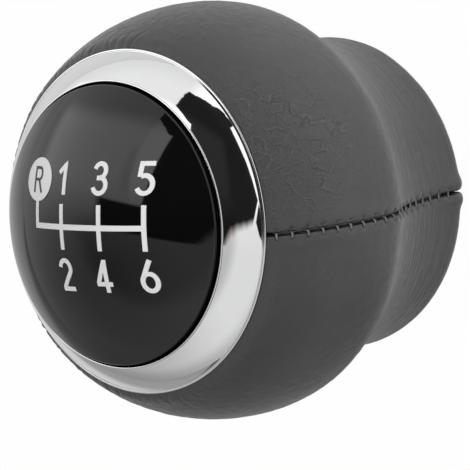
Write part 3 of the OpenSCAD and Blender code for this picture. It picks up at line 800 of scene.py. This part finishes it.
def cap_shell():
    """Domed shell with a rounded rim, the seat for the pad and four clips."""
    edge_x = CAP_R - CAP_EDGE_R
    edge = (edge_x, DOME_Z + math.sqrt((DOME_R - CAP_EDGE_R) ** 2 - edge_x**2))
    edge_a = math.degrees(math.atan2(edge[1] - DOME_Z, edge[0]))
    inner_r = DOME_R - CAP_T
    under = [(CAP_R - CAP_T, FLANGE_HIGH)]
    low_a = math.degrees(math.acos((CAP_R - CAP_T) / inner_r))
    seat_a = math.degrees(math.acos(PAD_SEAT[0][0] / inner_r))
    hole_a = math.degrees(math.acos(PAD_SEAT[1][0] / inner_r))
    under += bow((0, DOME_Z), inner_r, low_a, seat_a, 8) + list(PAD_SEAT)
    under += bow((0, DOME_Z), inner_r, hole_a, POLE_A, 8)
    section = [(CAP_R, FLANGE_HIGH)] + bow(edge, CAP_EDGE_R, 0, edge_a, 12)
    section += bow((0, DOME_Z), DOME_R, edge_a + 0.5, POLE_A, 56)
    parts = [spin(section + under[::-1], CAP_COLUMNS)]
    for turn in CLIP_TURNS:
        c, s = math.cos(math.radians(turn)), math.sin(math.radians(turn))
        points = [(r * c - w * s, r * s + w * c, z) for w in (-CLIP_W / 2, CLIP_W / 2) for r, z in CLIP]
        k = len(CLIP)
        faces = [tuple(range(k))[::-1], tuple(range(k, 2 * k))]
        faces += [(i, (i + 1) % k, (i + 1) % k + k, i + k) for i in range(k)]
        parts.append((points, faces))
    return join_meshes(parts)


sew_on(make_mesh("crowned_ring", *bezel(), CHROME, crease=SHARP_TURN), "chrome", "bezel_ring")
sew_on(make_mesh("domed_cap", *cap_shell(), GLOSS, crease=SHARP_TURN), "gloss_black", "cap")


# Printed figures on the dome

def curve_points(centre, radii, start, end, count=22):
    """Points of a part of an ellipse, with its angles in degrees."""
    a = np.radians(np.linspace(start, end, count))
    return np.stack([centre[0] + radii[0] * np.cos(a), centre[1] + radii[1] * np.sin(a)], 1).tolist()


def glyph_strokes(glyph, end):
    """Centre lines of a figure from -0.5 to 0.5 each way. A stroke that ends square reaches out to end."""
    if glyph == "1":
        return [[(-0.36, 0.16), (0.16, 0.44), (0.16, -end)]]
    if glyph == "2":
        top = curve_points((0.0, 0.22), (0.46, 0.28), 172, -25)
        return [top + [(-0.40, -0.46)], [(-0.52, -0.5), (end, -0.5)]]
    if glyph == "3":
        top = curve_points((-0.04, 0.26), (0.42, 0.24), 165, -90)
        low = curve_points((-0.04, -0.23), (0.50, 0.27), 90, -165)
        return [top, [(-0.25, 0.02), (-0.04, 0.02)], low]
    if glyph == "4":
        return [[(0.16, end), (0.16, -end)], [(0.12, 0.5), (-0.5, -0.26)], [(-0.62, -0.28), (end, -0.28)]]
    if glyph == "5":
        bowl = curve_points((-0.06, -0.20), (0.52, 0.30), 118, -155)
        return [[(0.5, 0.5), (-0.42, 0.5)], [(-0.34, end), (-0.40, 0.06)], bowl]
    if glyph == "6":
        bowl = curve_points((0.0, -0.20), (0.48, 0.30), 0, 360, 44)
        return [bowl, [(0.16, end), (-0.40, -0.04)]]
    bowl = curve_points((0.06, 0.25), (0.38, 0.25), 90, -90, 16)
    return [[(-0.5, -end), (-0.5, end)], [(-0.5, 0.5)] + bowl + [(-0.5, 0.0)], [(0.06, 0.0), (0.5, -end)]]


def resample(line, step):
    """Points along a line at even steps that keep its corners."""
    out = [np.array(line[0], float)]
    for a, b in zip(line[:-1], line[1:]):
        a, b = np.array(a, float), np.array(b, float)
        count = max(1, math.ceil(np.linalg.norm(b - a) / step))
        out += [a + (b - a) * k / count for k in range(1, count + 1)]
    return np.array(out)


def ribbon(line, width, base, top):
    """Strip of ink along a line on the dome, with mitred corners and square ends."""
    line = resample(line, INK_STEP)
    direction = np.diff(line, axis=0)
    direction /= np.linalg.norm(direction, axis=1)[:, None]
    before = np.vstack([direction[:1], direction])
    after = np.vstack([direction, direction[-1:]])
    tangent = before + after
    tangent /= np.linalg.norm(tangent, axis=1)[:, None]
    cosine = np.maximum((tangent * after).sum(1), MITRE_LIMIT)
    normal = np.stack([-tangent[:, 1], tangent[:, 0]], 1) * (width / 2 / cosine)[:, None]
    points = []
    for lift in (base, top):
        for sign in (-1, 1):
            for p in line + sign * normal:
                z = DOME_Z + math.sqrt((DOME_R + lift) ** 2 - p @ p)
                points.append((p[0], p[1], z))
    n = len(line)
    low_l, low_r, top_l, top_r = 0, n, 2 * n, 3 * n
    faces = []
    for i in range(n - 1):
        faces += [
            (top_l + i, top_l + i + 1, top_r + i + 1, top_r + i),
            (low_l + i, low_r + i, low_r + i + 1, low_l + i + 1),
            (low_l + i, low_l + i + 1, top_l + i + 1, top_l + i),
            (low_r + i, top_r + i, top_r + i + 1, low_r + i + 1),
        ]
    faces += [(low_l, top_l, top_r, low_r), (n - 1, 2 * n - 1, 4 * n - 1, 3 * n - 1)]
    return points, faces


def figure(name, glyph, centre, size, stroke, material, base, top):
    """One printed figure that fills a box of the given width and height."""
    inner = (size[0] - stroke, size[1] - stroke)
    end = 0.5 + stroke / inner[1] / 2
    parts = []
    for line in glyph_strokes(glyph, end):
        placed = [(centre[0] + x * inner[0], centre[1] + y * inner[1]) for x, y in line]
        parts.append(ribbon(placed, stroke, base, top))
    points, faces = join_meshes(parts)
    sew_on(make_mesh(name, points, faces, material, smooth=False), "print")


for column, x in enumerate(GEAR_X):
    for glyph, y in ((str(2 * column + 1), ODD_Y), (str(2 * column + 2), EVEN_Y)):
        figure("figure_" + glyph, glyph, (x, y), DIGIT_SIZE, DIGIT_STROKE, PRINT, -PRINT_SUNK, PRINT_T)
figure("letter_r", "R", DISC_XY, LETTER_SIZE, LETTER_STROKE, DARK_PRINT,
       PRINT_T - PRINT_SUNK, PRINT_T + PRINT_SUNK)


# Floor, world, lamps and camera

# Light that falls on dull surfaces, on the -Y and on the +Y side
AMBIENT_LOW, AMBIENT_HIGH = 0.10, 0.40
# Levels of the mirrored walls, and what each zone adds to them or takes from them
WALL_DARK, WALL_PALE, WALL_BRIGHT = 0.50, 0.92, 1.05
FOOT_SHADE, ABOVE_LIGHT, ABOVE_SHADE, PANEL_LIGHT, STRIP_LIGHT = 0.30, 0.95, 0.30, 0.18, 0.35
CARD_DARK = 0.985
FRINGE_TINT, FRINGE_SHARE = (1.0, 0.78, 0.70, 1.0), 3.0
# Floor. UNLIT_SHARE of its mirrored glow is left in a painted shadow where no light falls, and FAR_GLOW is
# painted light added towards +Y
FLOOR_SIZE, FLOOR_DROP, FLOOR_TONE = 3000.0, 0.02, 0.55
FLOOR_WHITE, FLOOR_MIRRORED, FLOOR_GLOW = 0.985, 0.85, 0.78
UNLIT_SHARE, FAR_GLOW = 0.28, 0.11
# Outlines of the dark cards and of the bright panel, as (x, y) / (1 + z) of the directions to their corners
CARD_TOP = (
    (-0.035, 0.47), (0.055, 0.395), (0.27, 0.37), (0.48, 0.673), (0.354, 0.731), (0.038, 0.712), (0.0, 0.61),
)
CARD_MAIN = (
    (0.075, 0.42), (-0.022, 0.058), (-0.022, -0.068), (0.25, -0.122), (0.56, -0.13), (0.615, -0.045),
    (0.657, 0.0), (0.722, 0.12), (0.664, 0.262), (0.597, 0.393), (0.52, 0.497), (0.437, 0.611),
)
CARD_LEFT = ((-0.30, 0.094), (-0.30, -0.035), (0.0, -0.066), (0.0, 0.055))
CARD_SMALL = ((0.73, 0.10), (0.662, -0.035), (0.70, -0.13), (0.757, -0.205), (0.815, -0.12), (0.775, -0.02))
PANEL = (
    (-0.046, 0.433), (-0.083, 0.288), (-0.093, 0.186), (-0.08, 0.05), (0.0, 0.03), (0.08, 0.36),
    (0.06, 0.42), (-0.015, 0.46),
)
SHADE = ((-0.115, 0.30), (-0.15, 0.18), (-0.13, 0.12), (-0.10, 0.13), (-0.085, 0.20), (-0.09, 0.30))


def walls(n, x, y, z, u, v, plane):
    """Brightness of the studio without its cards."""
    # On the -Y side the walls are darker towards -X, on the +Y side they are evenly bright
    far_side = n.span(x, -0.75, 0.45, WALL_DARK, WALL_PALE)
    near_side = n.span(z, -0.05, 0.4, WALL_PALE, WALL_BRIGHT)
    side = n.span(y, -0.45, 0.25)
    studio = n.math("MULTIPLY_ADD", n.math("SUBTRACT", near_side, far_side), side, far_side)
    # Near the floor the -Y wall darkens towards the floor's own level
    foot = n.math("MULTIPLY", n.span(z, 0.30, 0.0), n.span(y, -0.35, -0.75))
    studio = n.math("MULTIPLY", studio, n.math("MULTIPLY_ADD", foot, -FOOT_SHADE, 1.0))
    # Light from above on the +Y side, and less of it on the other side
    above = n.math("MULTIPLY", n.span(v, 0.50, 0.38), n.span(v, -0.05, 0.20))
    above = n.math("MULTIPLY", above, n.math("MULTIPLY", n.span(u, -0.84, -0.70), n.span(u, 0.4, 0.3)))
    studio = n.math("MULTIPLY_ADD", above, ABOVE_LIGHT, studio)
    other = n.math("MULTIPLY", n.span(z, 0.66, 0.82), n.span(v, 0.06, -0.06))
    studio = n.math("MULTIPLY_ADD", other, -ABOVE_SHADE, studio)
    # Bright panel, and the bright strip under the cards
    panel = n.math("SUBTRACT", n.inside(plane, PANEL, 0.008), n.inside(plane, SHADE, 0.03))
    studio = n.math("MULTIPLY", studio, n.math("MULTIPLY_ADD", panel, PANEL_LIGHT, 1.0))
    strip = n.math("MULTIPLY", n.span(u, 0.0, 0.15), n.span(v, -0.10, 0.05))
    strip = n.math("MULTIPLY", strip, n.span(z, 0.45, 0.30))
    return n.math("MULTIPLY_ADD", strip, STRIP_LIGHT, studio)


def dark_cards(n, u, v, plane):
    """1 on the dark cards. The top one has a torn outline, and the main one a ragged lower edge."""
    torn = n.mix(n.span(v, 0.49, 0.53), n.warp(plane, 28.0, 0.022), n.warp(plane, 24.0, 0.045))
    top = n.inside(torn, CARD_TOP, 0.004)
    comb = n.noise(n.add("ShaderNodeCombineXYZ", None, X=u).outputs[0], 16.0, 1.0)
    hem = n.math("MULTIPLY_ADD", u, -0.115, v)
    hem = n.math("MULTIPLY_ADD", comb, 0.03, hem)
    hem = n.math("ADD", hem, n.span(u, 0.34, 0.22, 0.0, 0.05))
    faded = n.math("MAXIMUM", n.span(hem, -0.125, -0.055), n.span(u, 0.26, 0.18))
    main = n.math("MULTIPLY", n.inside(plane, CARD_MAIN, 0.006), faded)
    left = n.math("MULTIPLY", n.inside(plane, CARD_LEFT, 0.008), n.span(u, -0.29, -0.23))
    dark = n.math("MAXIMUM", n.math("MAXIMUM", top, main), left)
    return n.math("MAXIMUM", dark, n.inside(plane, CARD_SMALL, 0.006))


def make_world():
    """White for the camera. Shiny surfaces mirror a pale studio with dark cards beside the camera."""
    world = bpy.data.worlds.new("studio")
    bpy.context.scene.world = world
    world.use_nodes = True
    n = Nodes(world.node_tree)
    x, y, z = n.split(n.add("ShaderNodeTexCoord").outputs["Generated"])
    reach = n.math("MAXIMUM", n.math("ADD", z, 1.0), 0.05)
    u, v = n.math("DIVIDE", x, reach), n.math("DIVIDE", y, reach)
    plane = n.add("ShaderNodeCombineXYZ", None, X=u, Y=v).outputs[0]
    dark = dark_cards(n, u, v, plane)
    shine = n.math("MULTIPLY", walls(n, x, y, z, u, v, plane), n.math("MULTIPLY_ADD", dark, -CARD_DARK, 1.0))
    # The cards' soft edges are a little warm beside the camera
    fringe = n.math("MULTIPLY", dark, n.math("SUBTRACT", 1.0, dark))
    fringe = n.math("MULTIPLY", fringe, n.math("MULTIPLY", n.span(u, 0.22, 0.28), n.span(u, 0.42, 0.36)))
    warm = n.mix(n.math("MULTIPLY", fringe, FRINGE_SHARE), grey(1.0), FRINGE_TINT)
    shine = n.add("ShaderNodeVectorMath", {"operation": "SCALE"}, i0=warm, Scale=shine).outputs[0]
    seen, mirrored = n.rays()
    soft = n.span(y, -0.7, 0.8, AMBIENT_LOW, AMBIENT_HIGH)
    soft = n.add("ShaderNodeCombineColor", None, Red=soft, Green=soft, Blue=soft).outputs[0]
    level = n.mix(seen, n.mix(mirrored, soft, shine), grey(1.0))
    background = n.add("ShaderNodeBackground", None, Color=level, Strength=1.0)
    n.add("ShaderNodeOutputWorld", None, i0=background.outputs[0])


def make_floor():
    """White floor that keeps a soft share of the knob's shadow. Mirrored, it glows, with a painted shadow
    away from the light and painted light far towards +Y.
    """
    material, n = new_material("floor")
    seen, mirrored = n.rays()
    pale = n.add("ShaderNodeBsdfDiffuse", None, Color=grey(FLOOR_TONE))
    along_x, across, _ = n.split(n.place())
    glow = n.span(across, -150.0, -60.0, FLOOR_GLOW / 2, FLOOR_GLOW)
    # Painted shadow: the mirrored glow drops on the -Y side, where the knob's shadow falls
    outside_painted_shadow = n.math("MAXIMUM", n.span(across, -32.0, -6.0), n.span(along_x, -45.0, -75.0))
    glow = n.math("MULTIPLY", glow, n.math("MULTIPLY_ADD", outside_painted_shadow, 1.0 - UNLIT_SHARE, UNLIT_SHARE))
    # Painted light: more mirrored glow far off towards +Y
    glow = n.math("ADD", glow, n.span(across, 20.0, 60.0, 0.0, FAR_GLOW))
    white = n.add("ShaderNodeEmission", None, Color=grey(1.0), Strength=n.math("MAXIMUM", seen, glow))
    share = n.math("MAXIMUM", n.math("MULTIPLY", seen, FLOOR_WHITE),
                   n.math("MULTIPLY", mirrored, FLOOR_MIRRORED))
    mixed = n.add("ShaderNodeMixShader", None, i0=share, i1=pale.outputs[0], i2=white.outputs[0])
    n.add("ShaderNodeOutputMaterial", None, i0=mixed.outputs[0])
    size, low = FLOOR_SIZE, -FLOOR_DROP
    corners = [(-size, -size, low), (size, -size, low), (size, size, low), (-size, size, low)]
    make_mesh("floor", corners, [(0, 1, 2, 3)], material, smooth=False)


def make_lamp(name, direction, distance, size, power):
    """Soft lamp that shines on the knob's middle and isn't mirrored in the chrome."""
    light = bpy.data.lights.new(name, "AREA")
    light.shape = "DISK"
    light.size = size * MM
    light.energy = power
    lamp = link(bpy.data.objects.new(name, light))
    aim = Vector((0, 0, BALL_Z)) * MM
    way = Vector(direction).normalized()
    lamp.location = aim + way * distance * MM
    lamp.rotation_mode = "QUATERNION"
    lamp.rotation_quaternion = way.to_track_quat("Z", "Y")
    lamp.visible_glossy = False


def make_camera():
    camera_data = bpy.data.cameras.new("camera")
    camera_data.lens = CAMERA_LENS
    camera_data.sensor_width = CAMERA_SENSOR
    camera_data.clip_start, camera_data.clip_end = CAMERA_CLIP
    camera = link(bpy.data.objects.new("camera", camera_data))
    at, look = Vector(CAMERA_AT) * MM, Vector(CAMERA_LOOK) * MM
    back = (at - look).normalized()
    right = Vector(CAMERA_UP).cross(back).normalized()
    up = back.cross(right)
    camera.matrix_world = Matrix.Translation(at) @ Matrix((right, up, back)).transposed().to_4x4()
    bpy.context.scene.camera = camera


make_world()
make_floor()
make_lamp("key", (0.45, 0.85, 0.12), 700, 500, 4.6)
make_lamp("side", (0.95, -0.25, 0.25), 800, 600, 2.2)
make_lamp("top", (0.0, -0.35, 0.94), 700, 500, 2.9)
make_camera()
bpy.context.scene.view_settings.view_transform = "Standard"
